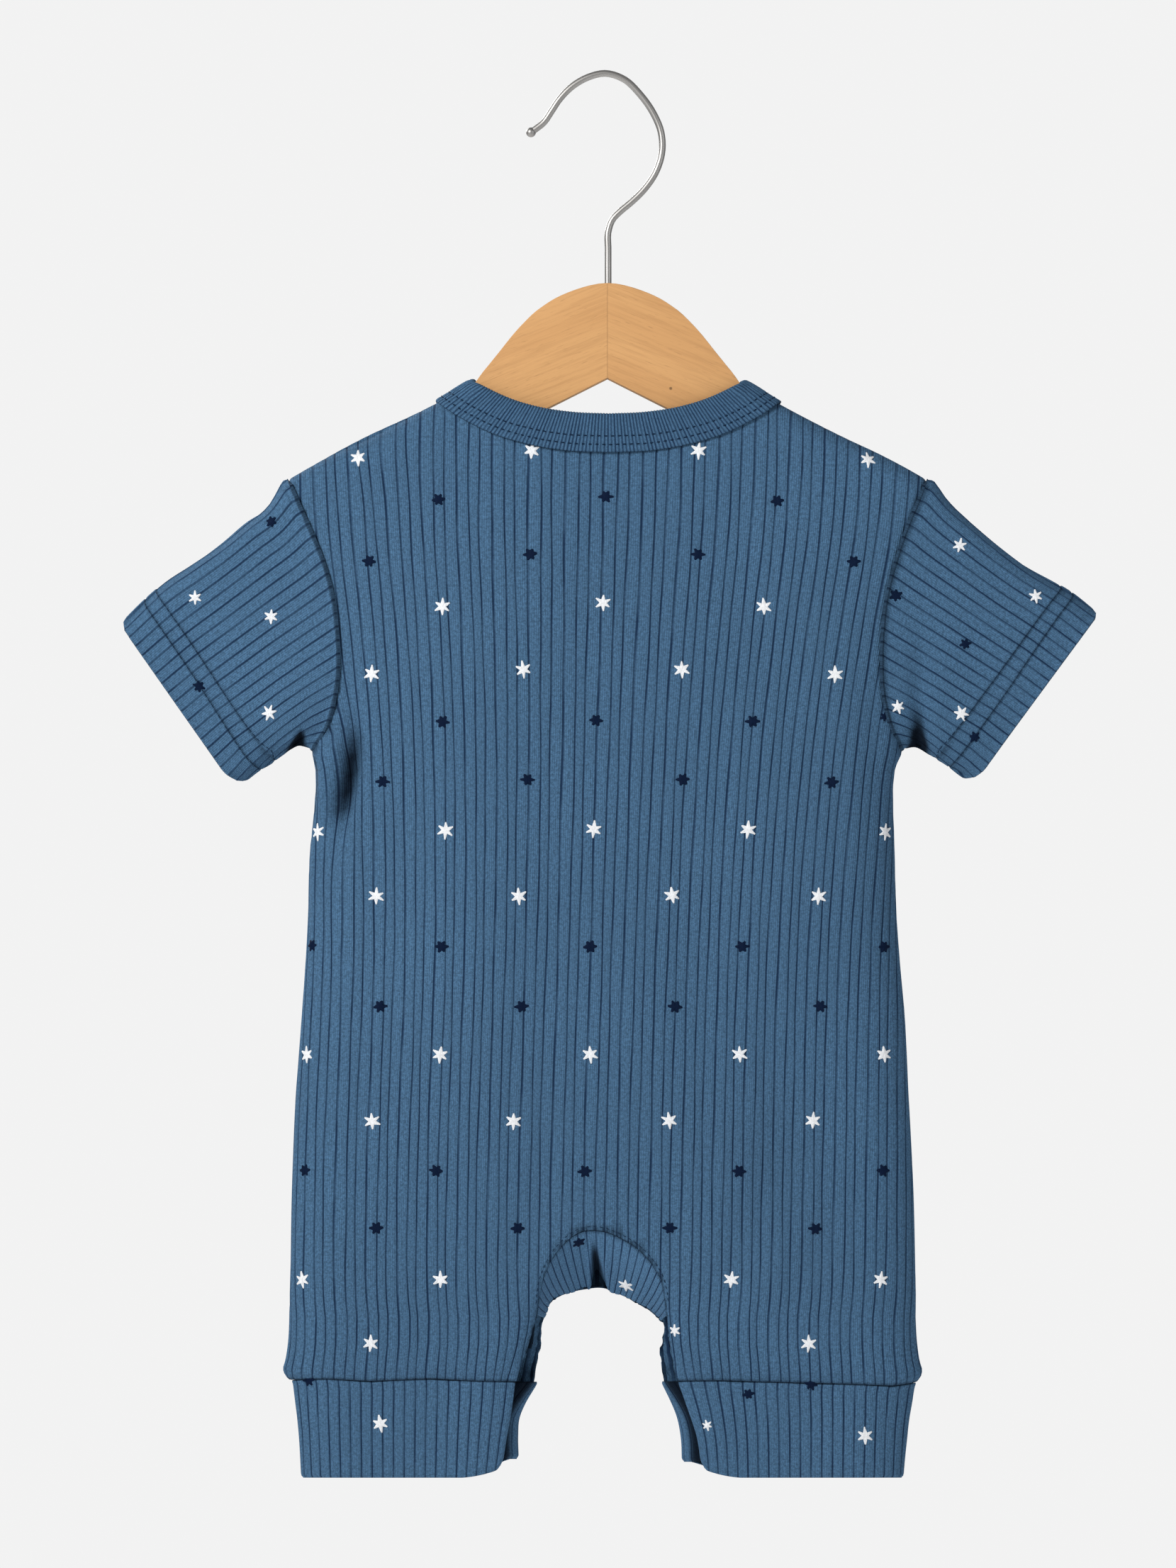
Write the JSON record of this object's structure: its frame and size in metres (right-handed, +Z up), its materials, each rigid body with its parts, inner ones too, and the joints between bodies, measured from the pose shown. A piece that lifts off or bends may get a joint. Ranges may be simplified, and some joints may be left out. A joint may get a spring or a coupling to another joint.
{
  "type": "short-sleeve romper on a hanger",
  "caption": "Baby's short-sleeve rib-knit romper with star pattern, bound neck, cuffed legs and snap cuffs, hung flat on a small wooden hanger with a wire hook.",
  "frame": {"origin": "the underside of the hook's top, where it bears on a peg or rail", "axes": "+Z up, -Y out of the garment's back, which is the side shown, and +X to the wearer's right"},
  "size_m": [0.4057, 0.0308, 0.5883],
  "materials": {
    "rib_knit": "slate-blue cotton rib knit, matt, with small white and navy stars",
    "rib_trim": "slate-blue fine rib trim, matt",
    "maple": "pale wood, satin lacquer",
    "chrome": "bright plated wire",
    "white_plastic": "white press snap"
  },
  "bodies": {
    "root": {"back": "rib_knit", "front": "rib_knit", "sleeve_left": "rib_knit", "sleeve_right": "rib_knit", "crotch_placket": "rib_knit", "cuff_left": "rib_knit", "cuff_right": "rib_knit", "neckband": "rib_trim", "hanger_left": "maple", "hanger_right": "maple", "hanger_hook": "chrome", "snap_cuff_left": "white_plastic", "snap_cuff_right": "white_plastic"}
  },
  "joints": []
}
